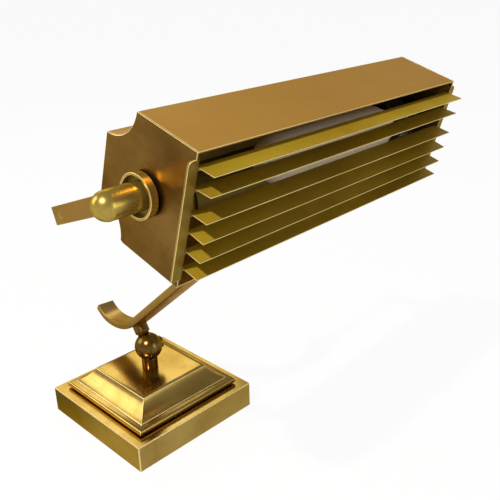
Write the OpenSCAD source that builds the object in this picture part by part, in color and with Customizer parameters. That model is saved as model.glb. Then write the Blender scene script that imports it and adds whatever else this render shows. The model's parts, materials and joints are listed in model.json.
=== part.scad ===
// Desk lamp with a long louvred shade, on a curled flat arm and a square stepped base.
// Origin: centre of the resting face. +Z up, -Y towards the louvres, +X along the shade.

/* [Base] */
// Side of the square slab
base_side = 140; // [120:1:180]
// Height of the slab's top face above the table
slab_top = 27; // [22:0.1:34]
// Wall of the hollow slab
slab_wall = 2.5; // [1.5:0.1:4]
// Thickness of the felt sheet
felt_t = 1.5; // [1:0.1:2.5]
// How far the felt stands out below the slab's rim
felt_proud = 0.5; // [0.2:0.1:0.9]
// Thickness of the bottom plate
bottom_t = 1.2; // [0.8:0.1:2]
// Gap round the weight, the bottom plate and the felt
pocket_gap = 0.3; // [0.1:0.1:0.8]
// Side of the moulding's lip
lip_side = 119.5; // [110:0.5:119.5]
// How far the moulding's foot is set back under the lip
lip_overhang = 2.8; // [1:0.1:4]
// Height of the foot under the lip
foot_h = 1.3; // [0.8:0.1:3]
// Thickness of the lip at its edge
lip_h = 3; // [2:0.1:5]
// Height of the cove above the lip
cove_h = 15.9; // [12:0.1:22]
// How deep the cove sags below a straight slope
cove_sag = 1.5; // [0.5:0.1:2.5]
// Side of the plateau on top
plateau_side = 76.6; // [60:0.5:84]
// Height of the plateau's edge above the cove
plateau_edge = 1.7; // [1:0.1:3]
// Thickness of the plateau
plateau_t = 4; // [3:0.1:6]

/* [Post and ball joint] */
// Diameter of the post
post_d = 15.6; // [13:0.1:18]
// Height of the ball's centre above the plateau
ball_rise = 23; // [20:0.1:30]
// Diameter of the ball
ball_d = 27; // [24:0.5:30]
// Thickness of the middle slice of the ball
tongue_t = 9; // [7:0.1:10]
// Diameter of the screw through the ball
ball_screw_d = 5; // [4:0.1:6]
// Diameter of that screw's head
ball_head_d = 12; // [9:0.5:14]
// Thickness of that screw's head
ball_head_t = 3; // [2:0.1:4]
// Diameter of the threaded stem below the post
stem_d = 10; // [8:0.1:12]
// Diameter of the neck between ball and arm
neck_d = 14.5; // [12:0.1:16]
// Gap between the ball and the neck
neck_gap = 1; // [0.6:0.1:2]
// Side clearance of every sliding face
slide_gap = 0.05; // [0.03:0.01:0.08]
// Radial clearance of every turning fit
turn_gap = 0.05; // [0.03:0.01:0.08]

/* [Arm] */
// Width of the flat bar
bar_w = 18; // [14:0.5:22]
// Thickness of the flat bar
bar_t = 7.2; // [5:0.1:9]
// Angle of the straight rise above the horizontal
rise_deg = 39.3; // [36:0.1:43]
// Radius of the bend between the curl and the rise
foot_bend_r = 88.7; // [75:0.1:100]
// Radius of the curl's tip
curl_r = 36; // [28:0.5:44]
// Angle through which the tip curls up
curl_deg = 36.5; // [20:0.5:50]
// Distance of the curl's lowest point behind the ball
curl_back = 69; // [63:0.5:75]
// Distance of the arm's upright end in front of the ball
reach = 121.6; // [112:0.1:135]
// Radius of the bend into the upright end
top_bend_r = 75; // [60:0.5:90]
// Length of the upright end
upright_h = 17.2; // [12:0.1:30]
// Angle of the arm's plane about the post
arm_yaw = -7.5; // [-20:0.5:20]

/* [Yoke] */
// Diameter of the socket on the arm's upright end
socket_d = 23; // [21:0.5:28]
// Height of the socket
socket_h = 16; // [12:0.5:22]
// Depth of the bar in the socket
socket_grip = 7; // [5:0.5:9]
// Diameter of the swivel pin
swivel_d = 8; // [6:0.1:10]
// Diameter of the hub
hub_d = 16; // [13:0.5:20]
// Length of the hub along the cross rod
hub_l = 26; // [18:0.5:36]
// Height of the collar under the hub
hub_foot_h = 3; // [2:0.1:5]
// Diameter of the cross rod
rod_d = 6; // [5:0.1:7]
// Diameter of the riveted rod ends
rod_end_d = 4; // [3:0.1:5]
// Distance from the cross rod to the shade's pivot
yoke_l = 88; // [80:0.5:105]
// Length of the side strips past the cross rod
strip_end = 8.5; // [6:0.5:14]
// Width of the side strips
strip_w = 12; // [9:0.5:15]
// Thickness of the side strips
strip_t = 2; // [1.5:0.1:3]
// Rise of the side strips above the horizontal
yoke_rise_deg = 20; // [5:0.5:35]
// Angle of the shade about the swivel
shade_yaw = 1.9; // [-10:0.1:10]

/* [Shade] */
// Length of the shade over its end plates
shade_l = 254; // [220:1:360]
// Depth of the top plate's line to the rear face
shade_d = 67.2; // [64:0.1:80]
// Height of the shade
shade_h = 80.8; // [78:0.1:95]
// Radius of the scooped rear corners
scoop_r = 21.5; // [16:0.5:25]
// How far the bottom front edge stands before the top one
front_lean = 3.3; // [0:0.1:8]
// Thickness of the sheet
sheet_t = 1; // [0.6:0.1:1.5]
// Thickness of the end plates
end_t = 1; // [0.6:0.1:2]
// Distance of the pivot behind the top front edge
pivot_back = 31; // [28:0.1:36]
// Distance of the pivot below the top plate
pivot_down = 40.5; // [36:0.1:46]
// Angle at which the shade leans forward
shade_tilt = 18; // [0:0.5:30]

/* [Knobs] */
// Diameter of the cup collars
collar_d = 26; // [22:0.5:32]
// Height of the cup collars
collar_h = 5; // [4:0.1:7]
// Wall of the cup collars
collar_wall = 1.5; // [1:0.1:2.5]
// Thickness of the collars' floor
collar_floor = 1.5; // [1:0.1:2.5]
// Diameter of the knobs
knob_d = 16.5; // [13:0.5:20]
// Length of the knobs
knob_l = 29.5; // [24:0.5:36]
// Diameter of the pivot studs
stud_d = 5; // [4:0.1:6]

/* [Louvres] */
// Width of the slats from hinge line to front edge
slat_w = 12.5; // [10:0.1:13]
// Thickness of the slats
slat_t = 0.8; // [0.6:0.1:1.2]
// Diameter of the rolled edge round the hinge wire
bead_d = 2.6; // [2.2:0.1:3.2]
// Diameter of the hinge wire
wire_d = 1.5; // [1.2:0.1:1.8]
// Gap between the slats' ends and the rails
slat_gap = 0.5; // [0.5:0.1:4]
// Distance of the hinge line behind the front edge
hinge_back = 1.5; // [0:0.1:3]
// Width of the flange folded outwards along the end plates' front
flange_w = 4.8; // [3:0.1:8]
// Thickness of that flange
flange_t = 1.2; // [0.8:0.1:1.6]
// Thickness of the drilled rails inside the end plates
rail_t = 1; // [0.8:0.1:1.6]
// Depth of the rails
rail_leg = 8; // [5:0.5:12]

/* [Light] */
// Diameter of the tubular bulb
bulb_d = 32; // [22:0.5:34]
// Length of the bulb's glass
bulb_l = 128; // [80:1:150]
// Diameter of the lampholder
holder_d = 33; // [26:0.5:36]
// Length of the lampholder
holder_l = 26; // [20:0.5:40]
// Thickness of the reflector sheet
liner_t = 0.6; // [0.4:0.1:1]

/* [Hidden] */
$fn = 64;

// One overrun serves all cuts.
cut = 1;
// Gap round shapes that turn close to each other.
free_gap = 0.3;

// Slab, weight and what lies under them.
rim_z = felt_proud;
pocket_side = base_side - 2 * slab_wall;
weight_z = felt_t + bottom_t;
weight_top = slab_top - slab_wall;
weight_side = pocket_side - 2 * pocket_gap;
screw_d = 3;
screw_head_d = 6;
screw_l = 12;
nut_play = 5;
screw_spread = weight_side / 2 - screw_l;

// Moulding: heights from the slab's top face.
lip_z = slab_top + foot_h;
lip_top = lip_z + lip_h;
lip_bevel = 0.8;
cove_step = 0.9;
cove_steps = 10;
cove_setback = 3.25;
cove_foot_side = lip_side - 2 * cove_setback;
cove_top_z = lip_top + cove_step + cove_h;
edge_bevel = 0.6;
plateau_z = cove_top_z + plateau_edge;
plateau_wall = 5;
hollow_side = plateau_side - 2 * plateau_wall;

// Post, stem, nut and ball.
ball_z = plateau_z + ball_rise;
ball_r = ball_d / 2;
slot_r = ball_r + free_gap;
stem_play = 0.5;
stem_hole_d = stem_d + 2 * stem_play;
nut_af = 16;
nut_h = 8;
washer_d = 20;
washer_h = 1.6;
nut_room_d = nut_af + 2 * nut_play;
stem_reach = 1.5;
stem_lift = 1;
seat_z = weight_z + stem_lift + stem_reach + nut_h + washer_h;
ball_head_sunk = 2.4;
ball_head_seat = ball_r - ball_head_sunk;
screw_tip_sunk = 4.5;
screw_tip = ball_r - screw_tip_sunk;
driver_w = 1;
driver_deep = 1.2;

// Arm, in its own plane: u runs backwards from the ball, z upwards.
neck_root = ball_r + neck_gap;
tongue_reach = 1.5;
neck_len = 22.9;
bend_u = curl_back - foot_bend_r * sin(rise_deg);
line_drop = bar_t / 2 + neck_len;
bend_z = ball_z + line_drop / cos(rise_deg) - bend_u * tan(rise_deg);
low_z = bend_z - foot_bend_r * (1 - cos(rise_deg));
top_u = -reach + top_bend_r * (1 - sin(rise_deg));
top_z = bend_z + (bend_u - top_u) * tan(rise_deg);
upright_z = top_z + top_bend_r * cos(rise_deg);
bar_end_z = upright_z + upright_h;
neck_stud_d = 5;
neck_stud_bite = 5;
neck_stud_l = 12;
arc_steps = 20;

// Socket, hub and cross rod.
socket_z = bar_end_z - socket_grip;
socket_top = socket_z + socket_h;
hub_z = socket_top + hub_foot_h + hub_d / 2;
swivel_lift = 1;
swivel_end = bar_end_z + swivel_lift;
hub_foot_d = 14;
pin_d = 3;
grub_d = 4;
grub_len = 6;
thumb_d = 11;
thumb_h = 5;
thumb_shank = 4;
thumb_neck = 3;
ring_d = 12;
ring_w = 5;
hub_point = [reach * sin(arm_yaw), -reach * cos(arm_yaw), hub_z];

// Shade.
half_l = shade_l / 2;
shell_half = half_l - end_t;
lean_deg = atan(front_lean / shade_h);
axis_forward = yoke_l * cos(yoke_rise_deg);
axis_up = yoke_l * sin(yoke_rise_deg);
strip_x = half_l;
collar_x = strip_x + strip_t;
knob_x = collar_x + collar_floor + free_gap;
stud_share = 0.6;
stud_out = knob_x + stud_share * knob_l;
stud_nut_af = 8;
stud_nut_h = 4;
stud_past_nut = 2;
stud_in = shell_half - stud_nut_h - stud_past_nut;

// Louvres: hinge heights as shares of the shade's height, and each slat's rest tilt in degrees.
hinge_shares = [0.124, 0.27, 0.449, 0.581, 0.73, 0.867];
slat_tilts = [1.2, 2.9, -0.2, -5.7, -4, -3.2];
rail_face = shell_half - rail_t;
flange_top_share = 0.05;
flange_low_share = 0.94;
flange_round = 3;
pin_reach = 0.8;
slat_end = rail_face - slat_gap;
wire_gap = 0.05;

// Bulb and what holds it: places along the shade from its middle.
bulb_back = 25;
bulb_lift = 0.4;
bulb_down = shade_h / 2 - bulb_lift;
cap_d = 26;
cap_l = 12;
cap_shows = 5;
cap_pin_share = 0.5;
bracket_t = 1.5;
bracket_inset = 5.6;
bracket_w = holder_d - 2 * bracket_inset;
bracket_foot = 16;
bracket_x = stud_in - free_gap - 2 * bracket_t;
bracket_screw_shares = [-0.3, 0.3];
cap_x = bracket_x - holder_l;
glass_x = cap_x - cap_shows;
holder_step = 3.25;
holder_step_share = 0.75;
tab_screw_d = 3;
tab_head_d = 5.5;
tab_head_h = 1.8;
liner_gap = 2;
liner_left = -70;
liner_right = 64;
liner_lip = 6;
rivet_shares = [0.12, 0.88];
rivet_d = 3;
rivet_head_d = 5;
rivet_head_h = 1;
bush_x = 82;
bush_d = 11;
bush_bore = 5.5;
bush_flange_d = 15;
bush_flange_h = 2;
bush_out = 6;

gold = [0.72, 0.56, 0.28];
bronze = [0.55, 0.4, 0.2];
olive = [0.5, 0.42, 0.14];
steel = [0.6, 0.6, 0.62];
iron = [0.22, 0.22, 0.23];
silver = [0.8, 0.8, 0.8];

// Frames: the arm's plane, the yoke at the cross rod, the shade's own corner and its front face.
module in_arm() {
    rotate([0, 0, arm_yaw]) children();
}

module in_yoke() {
    translate(hub_point) rotate([0, 0, shade_yaw]) children();
}

module in_shade() {
    in_yoke()
        translate([0, -axis_forward, axis_up])
            rotate([shade_tilt, 0, 0])
                translate([0, -pivot_back, pivot_down]) children();
}

module on_front() {
    in_shade() rotate([-lean_deg, 0, 0]) children();
}

// A cylinder along +X from x0 to x1.
module rod_x(d, x0, x1) {
    translate([x0, 0, 0]) rotate([0, 90, 0]) cylinder(d = d, h = x1 - x0);
}

module hex_x(across, x0, x1) {
    translate([x0, 0, 0]) rotate([0, 90, 0]) cylinder(d = across / cos(30), h = x1 - x0, $fn = 6);
}

// Mirrored to the left for side -1.
module on_side(side) {
    mirror([side < 0 ? 1 : 0, 0, 0]) children();
}

// Points from p to q along the arc that bulges to the left of the straight line by sag.
function sag_arc(p, q, sag) =
    let (
        run = norm(q - p),
        r = run * run / (8 * sag) + sag / 2,
        along = (q - p) / run,
        left = [-along[1], along[0]],
        centre = (p + q) / 2 - (r - sag) * left,
        half = asin(run / (2 * r))
    )
    [for (i = [0:cove_steps]) let (a = half * (2 * i / cove_steps - 1))
        centre + r * (sin(a) * along + cos(a) * left)];

// Cross-section of the square moulding, both sides of the middle.
module moulding_profile() {
    half = lip_side / 2;
    foot = half - lip_overhang;
    p = [cove_foot_side / 2, lip_top + cove_step];
    q = [plateau_side / 2 + edge_bevel, cove_top_z];
    side = concat(
        [[foot, slab_top], [foot, lip_z], [half, lip_z], [half, lip_top - lip_bevel],
            [half - lip_bevel, lip_top], [p[0], lip_top]],
        sag_arc(p, q, cove_sag),
        [[q[0], plateau_z - edge_bevel], [plateau_side / 2, plateau_z]]
    );
    polygon(concat(side, [for (i = [len(side) - 1:-1:0]) [-side[i][0], side[i][1]]]));
}

module base_slab() {
    color(gold) difference() {
        translate([-base_side / 2, -base_side / 2, rim_z]) cube([base_side, base_side, slab_top - rim_z]);
        translate([-pocket_side / 2, -pocket_side / 2, rim_z - cut])
            cube([pocket_side, pocket_side, weight_top - rim_z + cut]);
        translate([0, 0, rim_z]) cylinder(d = stem_hole_d, h = slab_top);
    }
}

module base_moulding() {
    color(gold) difference() {
        intersection() {
            rotate([90, 0, 0]) linear_extrude(base_side, center = true) moulding_profile();
            rotate([90, 0, 90]) linear_extrude(base_side, center = true) moulding_profile();
        }
        translate([-hollow_side / 2, -hollow_side / 2, slab_top - cut])
            cube([hollow_side, hollow_side, plateau_z - plateau_t - slab_top + cut]);
        translate([0, 0, slab_top]) cylinder(d = stem_d + 2 * turn_gap, h = plateau_z);
    }
}

module base_weight() {
    color(iron) difference() {
        translate([-weight_side / 2, -weight_side / 2, weight_z])
            cube([weight_side, weight_side, weight_top - weight_z]);
        translate([0, 0, felt_t]) cylinder(d = stem_hole_d, h = slab_top);
        translate([0, 0, felt_t]) cylinder(d = nut_room_d, h = seat_z - felt_t);
        at_corners() translate([0, 0, felt_t]) cylinder(d = screw_d, h = screw_l);
    }
}

module at_corners() {
    for (sx = [-1, 1], sy = [-1, 1]) translate([sx * screw_spread, sy * screw_spread, 0]) children();
}

module bottom_plate() {
    color(steel) difference() {
        translate([-weight_side / 2, -weight_side / 2, felt_t]) cube([weight_side, weight_side, bottom_t]);
        at_corners() translate([0, 0, felt_t - cut]) cylinder(d = screw_head_d, h = bottom_t + 2 * cut);
    }
}

module felt_pad() {
    color("darkgreen")
        translate([-weight_side / 2, -weight_side / 2, 0]) cube([weight_side, weight_side, felt_t]);
}

module cover_screws() {
    color(steel) at_corners() translate([0, 0, felt_t]) {
        cylinder(d = screw_head_d, h = bottom_t);
        cylinder(d = screw_d, h = screw_l);
    }
}

// Slot for the middle slice: flat cheeks, a round floor and an open top.
module ball_slot() {
    w = tongue_t + 2 * slide_gap;
    rod_x(2 * slot_r, -w / 2, w / 2);
    translate([-w / 2, -slot_r, 0]) cube([w, 2 * slot_r, slot_r]);
}

module lower_knuckle() {
    color(bronze) in_arm() difference() {
        union() {
            translate([0, 0, plateau_z]) cylinder(d = post_d, h = ball_rise);
            translate([0, 0, ball_z]) sphere(d = ball_d);
            translate([0, 0, weight_z + stem_lift]) cylinder(d = stem_d, h = plateau_z - weight_z);
        }
        translate([0, 0, ball_z]) {
            ball_slot();
            rod_x(ball_screw_d, -screw_tip, ball_r + cut);
            rod_x(ball_head_d, ball_head_seat, ball_r + cut);
        }
    }
}

module post_washer() {
    color(steel) in_arm() translate([0, 0, seat_z - washer_h]) difference() {
        cylinder(d = washer_d, h = washer_h);
        translate([0, 0, -cut]) cylinder(d = stem_d, h = washer_h + 2 * cut);
    }
}

module post_nut() {
    color(steel) in_arm() translate([0, 0, seat_z - washer_h - nut_h]) difference() {
        cylinder(d = nut_af / cos(30), h = nut_h, $fn = 6);
        translate([0, 0, -cut]) cylinder(d = stem_d, h = nut_h + 2 * cut);
    }
}

module ball_screw() {
    color(bronze) in_arm() translate([0, 0, ball_z]) difference() {
        union() {
            rod_x(ball_screw_d, -screw_tip, ball_head_seat + cut);
            rod_x(ball_head_d, ball_head_seat, ball_head_seat + ball_head_t);
        }
        translate([ball_head_seat + ball_head_t - driver_deep, -ball_head_d, -driver_w / 2])
            cube([driver_deep + cut, 2 * ball_head_d, driver_w]);
    }
}

module upper_knuckle() {
    color(bronze) in_arm() difference() {
        union() {
            intersection() {
                translate([0, 0, ball_z]) sphere(d = ball_d);
                translate([-tongue_t / 2, -ball_d, ball_z - ball_d]) cube([tongue_t, 2 * ball_d, 2 * ball_d]);
            }
            translate([0, 0, ball_z]) rotate([-rise_deg, 0, 0]) {
                translate([0, 0, neck_root]) cylinder(d = neck_d, h = neck_len + bar_t / 2 - neck_root);
                translate([-tongue_t / 2, -tongue_t / 2, ball_r - tongue_reach])
                    cube([tongue_t, tongue_t, neck_gap + 2 * tongue_reach]);
            }
        }
        bar_solid();
        translate([0, 0, ball_z]) rod_x(ball_screw_d + 2 * turn_gap, -ball_r, ball_r);
        along_neck() cylinder(d = neck_stud_d, h = neck_stud_l);
    }
}

// Start of the stud's hole, on the neck's axis inside the neck.
module along_neck() {
    translate([0, 0, ball_z])
        rotate([-rise_deg, 0, 0])
            translate([0, 0, neck_len + neck_stud_bite - neck_stud_l]) children();
}

module neck_stud() {
    color(steel) in_arm() along_neck() cylinder(d = neck_stud_d, h = neck_stud_l);
}

// Points on an arc about centre c, from angle a to b.
function arc_points(c, r, a, b) = [for (i = [0:arc_steps]) c + r * [cos(a + (b - a) * i / arc_steps),
    sin(a + (b - a) * i / arc_steps)]];

// One edge of the bar, offset to the outer or inner side: curl's tip to the upright's end.
function bar_edge(side) = concat(
    arc_points([curl_back, low_z + curl_r], curl_r - side * bar_t / 2, 270 + curl_deg, 270),
    arc_points([curl_back, low_z + foot_bend_r], foot_bend_r - side * bar_t / 2, 270, 270 - rise_deg),
    arc_points([-reach + top_bend_r, upright_z], top_bend_r - side * bar_t / 2, 270 - rise_deg, 180),
    [[-reach + side * bar_t / 2, bar_end_z]]
);

// Side view of the bar: tip, curl, long rise, top bend and upright.
module bar_profile() {
    upper = bar_edge(1);
    lower = bar_edge(-1);
    polygon(concat(upper, [for (i = [len(lower) - 1:-1:0]) lower[i]]));
}

module bar_solid() {
    rotate([90, 0, 90]) linear_extrude(bar_w, center = true) bar_profile();
}

module arm_bar() {
    color(gold) in_arm() difference() {
        bar_solid();
        along_neck() cylinder(d = neck_stud_d, h = neck_stud_l);
        at_socket(bar_end_z - socket_grip / 2) rod_x(pin_d, -socket_d, socket_d);
    }
}

module at_socket(z) {
    translate([0, -reach, z]) children();
}

module arm_socket() {
    color(gold) in_arm() difference() {
        at_socket(socket_z) cylinder(d = socket_d, h = socket_h);
        bar_solid();
        at_socket(swivel_end - free_gap) cylinder(d = swivel_d + 2 * turn_gap, h = socket_h);
        at_socket(bar_end_z - socket_grip / 2) rod_x(pin_d, -socket_d, socket_d);
        at_socket((swivel_end + socket_top) / 2)
            rotate([0, 0, 90]) rod_x(grub_d, swivel_d / 2, socket_d);
    }
}

module socket_pin() {
    color(steel) in_arm() at_socket(bar_end_z - socket_grip / 2)
        rod_x(pin_d, -socket_d / 2 + free_gap, socket_d / 2 - free_gap);
}

module socket_screw() {
    color(steel) in_arm() at_socket((swivel_end + socket_top) / 2) rotate([0, 0, 90])
        rod_x(grub_d, swivel_d / 2 + free_gap, swivel_d / 2 + free_gap + grub_len);
}

module yoke_hub() {
    color(bronze) in_yoke() difference() {
        union() {
            rod_x(hub_d, -hub_l / 2, hub_l / 2);
            translate([0, 0, -hub_z + socket_top]) cylinder(d = hub_foot_d, h = hub_foot_h + hub_d / 2);
            translate([0, 0, -hub_z + swivel_end]) cylinder(d = swivel_d, h = hub_z - swivel_end);
        }
        rod_x(rod_d + 2 * turn_gap, -hub_l, hub_l);
        rotate([0, 0, 90]) rod_x(grub_d, 0, hub_d);
    }
}

module hub_screw() {
    tip = rod_d / 2 + free_gap;
    head = hub_d / 2 + thumb_neck;
    color(gold) in_yoke() rotate([0, 0, 90]) {
        rod_x(thumb_shank, tip, head + cut);
        rod_x(thumb_d, head, head + thumb_h);
    }
}

module cross_rod() {
    color(gold) in_yoke() {
        rod_x(rod_d, -strip_x, strip_x);
        rod_x(rod_end_d, -strip_x - strip_t, strip_x + strip_t);
    }
}

module rod_rings() {
    color(gold) in_yoke() for (side = [-1, 1]) on_side(side) difference() {
        rod_x(ring_d, hub_l / 2, hub_l / 2 + ring_w);
        rod_x(rod_d, hub_l / 2 - cut, hub_l / 2 + ring_w + cut);
    }
}

// Flat strip from the shade's pivot to its square end behind the cross rod.
module yoke_strip(side) {
    color(gold) in_yoke() on_side(side) rotate([-yoke_rise_deg, 0, 0]) difference() {
        union() {
            translate([strip_x, -yoke_l, -strip_w / 2]) cube([strip_t, yoke_l + strip_end, strip_w]);
            translate([0, -yoke_l, 0]) rod_x(strip_w, strip_x, strip_x + strip_t);
        }
        rod_x(rod_end_d, strip_x - cut, strip_x + strip_t + cut);
        translate([0, -yoke_l, 0]) rod_x(stud_d + 2 * turn_gap, strip_x - cut, strip_x + strip_t + cut);
    }
}

module yoke_strip_left() {
    yoke_strip(-1);
}

module yoke_strip_right() {
    yoke_strip(1);
}

module at_pivot() {
    in_yoke() translate([0, -axis_forward, axis_up]) children();
}

module collar(side) {
    color(gold) at_pivot() on_side(side) difference() {
        rod_x(collar_d, collar_x, collar_x + collar_h);
        rod_x(collar_d - 2 * collar_wall, collar_x + collar_floor, collar_x + collar_h + cut);
        rod_x(stud_d + 2 * turn_gap, collar_x - cut, collar_x + collar_h);
    }
}

module collar_left() {
    collar(-1);
}

module collar_right() {
    collar(1);
}

module knob(side) {
    color(gold) at_pivot() on_side(side) difference() {
        union() {
            rod_x(knob_d, knob_x, knob_x + knob_l - knob_d / 2);
            translate([knob_x + knob_l - knob_d / 2, 0, 0]) sphere(d = knob_d);
        }
        rod_x(stud_d + 2 * turn_gap, knob_x - cut, stud_out + free_gap);
        rod_x(knob_d + cut, knob_x - knob_d, knob_x);
    }
}

module knob_left() {
    knob(-1);
}

module knob_right() {
    knob(1);
}

module pivot_stud(side) {
    color(steel) at_pivot() on_side(side) rod_x(stud_d, stud_in, stud_out);
}

module pivot_stud_left() {
    pivot_stud(-1);
}

module pivot_stud_right() {
    pivot_stud(1);
}

module stud_nuts() {
    color(steel) at_pivot() for (side = [-1, 1]) on_side(side) difference() {
        hex_x(stud_nut_af, shell_half - stud_nut_h, shell_half);
        rod_x(stud_d, stud_in - cut, half_l);
    }
}

// End view of the shade, drawn as y backwards and z up, drawn in by inset on every side.
module shade_outline(inset) {
    back = shade_d - inset;
    low = -shade_h + inset;
    lean = front_lean * (shade_h - inset) / shade_h;
    difference() {
        polygon([[0, -inset], [back, -inset], [back, low], [-lean, low]]);
        translate([shade_d, 0]) circle(r = scoop_r + inset, $fn = 120);
        translate([shade_d, -shade_h]) circle(r = scoop_r + inset, $fn = 120);
    }
}

// Extrudes an end view along the shade from x0 to x1.
module along_shade(x0, x1) {
    translate([x0, 0, 0]) rotate([90, 0, 90]) linear_extrude(x1 - x0) children();
}

module shade_shell() {
    color(bronze) in_shade() difference() {
        along_shade(-shell_half, shell_half) difference() {
            shade_outline(0);
            shade_outline(sheet_t);
            front_opening();
        }
        at_bushing() cylinder(d = bush_d, h = 2 * sheet_t + 2 * cut, center = true);
        at_rivets() cylinder(d = rivet_d, h = 2 * sheet_t + 2 * cut, center = true);
        at_bracket_screws() cylinder(d = tab_screw_d, h = 2 * sheet_t + 2 * cut, center = true);
    }
}

// Clears the open front between the top and bottom plates' edges.
module front_opening() {
    lean = front_lean * (shade_h - sheet_t) / shade_h;
    polygon([[-lean - cut, -shade_h + sheet_t], [-cut, -sheet_t], [cut, -sheet_t], [cut, -shade_h + sheet_t]]);
}

// End plate with a flange folded outwards along its front edge.
module end_plate(side) {
    color(bronze) {
        in_shade() on_side(side) difference() {
            along_shade(shell_half, half_l) shade_outline(0);
            translate([0, pivot_back, -pivot_down]) rod_x(stud_d, shell_half - cut, half_l + cut);
        }
        on_front() on_side(side) end_flange();
    }
}

// Drawn lying in the front face, its upper outer corner rounded.
module end_flange() {
    top = -flange_top_share * shade_h;
    low = -flange_low_share * shade_h;
    outer = half_l + flange_w;
    translate([0, flange_t, 0]) rotate([90, 0, 0]) linear_extrude(flange_t) difference() {
        translate([shell_half, low]) square([outer - shell_half, top - low]);
        translate([outer - flange_round, top - flange_round]) difference() {
            square(flange_round + cut);
            circle(r = flange_round);
        }
    }
}

module end_plate_left() {
    end_plate(-1);
}

module end_plate_right() {
    end_plate(1);
}

// Drilled rail against the inside of an end plate: it carries the slats' wires.
module rail(side) {
    top = -flange_top_share * shade_h;
    low = -flange_low_share * shade_h;
    color(olive) on_front() on_side(side) difference() {
        translate([rail_face, 0, low]) cube([rail_t, rail_leg, top - low]);
        for (share = hinge_shares) translate([0, hinge_back, -share * shade_h])
            rod_x(wire_d + 2 * wire_gap, rail_face - cut, shell_half + cut);
    }
}

module rail_left() {
    rail(-1);
}

module rail_right() {
    rail(1);
}

// Slat number i: flat blade, rear edge rolled under round the wire, and the wire's ends.
module slat(i) {
    color(olive) on_front() translate([0, hinge_back, -hinge_shares[i] * shade_h])
        rotate([-slat_tilts[i], 0, 0]) {
            translate([-slat_end, -slat_w, bead_d / 2 - slat_t]) cube([2 * slat_end, slat_w, slat_t]);
            rod_x(bead_d, -slat_end, slat_end);
            rod_x(wire_d, -rail_face - pin_reach, rail_face + pin_reach);
        }
}

module slat_1() {
    slat(0);
}

module slat_2() {
    slat(1);
}

module slat_3() {
    slat(2);
}

module slat_4() {
    slat(3);
}

module slat_5() {
    slat(4);
}

module slat_6() {
    slat(5);
}

// Bent brass reflector behind the bulb: it follows the rear wall and both scoops.
module reflector() {
    back_line = shade_d - scoop_r - liner_lip;
    color(olive) in_shade() difference() {
        along_shade(liner_left, liner_right) intersection() {
            difference() {
                shade_outline(sheet_t + liner_gap);
                shade_outline(sheet_t + liner_gap + liner_t);
            }
            translate([back_line, -shade_h]) square([shade_d, shade_h]);
        }
        at_rivets() cylinder(d = rivet_d, h = shade_d / 2, center = true);
    }
}

// Rivets on the rear wall, axis along the shade's depth.
module at_rivets() {
    for (share = rivet_shares)
        translate([liner_left + share * (liner_right - liner_left), shade_d, -shade_h / 2])
            rotate([90, 0, 0]) children();
}

module reflector_rivets() {
    inside = sheet_t + liner_gap + liner_t;
    color(steel) in_shade() at_rivets() {
        cylinder(d = rivet_d, h = inside);
        translate([0, 0, inside]) cylinder(d = rivet_head_d, h = rivet_head_h);
        translate([0, 0, sheet_t]) cylinder(d = rivet_head_d, h = liner_gap);
    }
}

module at_bushing() {
    translate([bush_x, shade_d, -shade_h / 2]) rotate([90, 0, 0]) children();
}

module cable_bushing() {
    color([0.08, 0.08, 0.08]) in_shade() at_bushing() difference() {
        union() {
            translate([0, 0, -bush_out]) cylinder(d1 = bush_d - sheet_t, d2 = bush_flange_d, h = bush_out);
            cylinder(d = bush_d, h = sheet_t);
            translate([0, 0, sheet_t]) cylinder(d = bush_flange_d, h = bush_flange_h);
        }
        cylinder(d = bush_bore, h = 4 * bush_out, center = true);
    }
}

// Bulb axis, running along the shade.
module on_bulb() {
    in_shade() translate([0, bulb_back, -bulb_down]) children();
}

// Screws that hold the bracket's foot against the rear wall, from the outside in.
module at_bracket_screws() {
    for (share = bracket_screw_shares)
        translate([bracket_x - bracket_foot / 2, shade_d, -bulb_down + share * bracket_w])
            rotate([90, 0, 0]) children();
}

module holder_bracket() {
    front = bulb_back - bracket_w / 2;
    back = shade_d - sheet_t;
    low = -bulb_down - bracket_w / 2;
    color(steel) in_shade() difference() {
        union() {
            translate([bracket_x, front, low]) cube([bracket_t, back - front, bracket_w]);
            translate([bracket_x - bracket_foot, back - bracket_t, low])
                cube([bracket_foot + bracket_t, bracket_t, bracket_w]);
        }
        translate([0, bulb_back, -bulb_down]) rod_x(bush_bore, bracket_x - cut, half_l);
        at_bracket_screws() cylinder(d = tab_screw_d, h = bracket_foot, center = true);
    }
}

module bracket_screws() {
    color(steel) in_shade() at_bracket_screws() {
        translate([0, 0, -tab_head_h]) cylinder(d = tab_head_d, h = tab_head_h);
        cylinder(d = tab_screw_d, h = sheet_t + bracket_t + free_gap);
    }
}

module lampholder() {
    color([0.1, 0.1, 0.1]) on_bulb() difference() {
        union() {
            rod_x(holder_d, cap_x, cap_x + holder_step_share * holder_l);
            rod_x(holder_d - 2 * holder_step, cap_x + holder_l / 2, bracket_x);
        }
        rod_x(cap_d, cap_x - cut, cap_x + cap_l);
    }
}

module bulb_cap() {
    color(silver) on_bulb() {
        rod_x(cap_d, glass_x, cap_x + cap_l - free_gap);
        rod_x(cap_pin_share * cap_d, cap_x, cap_x + cap_l);
    }
}

module bulb_glass() {
    tip = glass_x - bulb_l;
    color([0.85, 0.85, 0.8, 0.6]) on_bulb() {
        rod_x(bulb_d, tip + bulb_d / 2, glass_x - bulb_d / 4);
        rod_x(cap_d, glass_x - bulb_d / 2, glass_x);
        translate([tip + bulb_d / 2, 0, 0]) sphere(d = bulb_d);
    }
}

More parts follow.
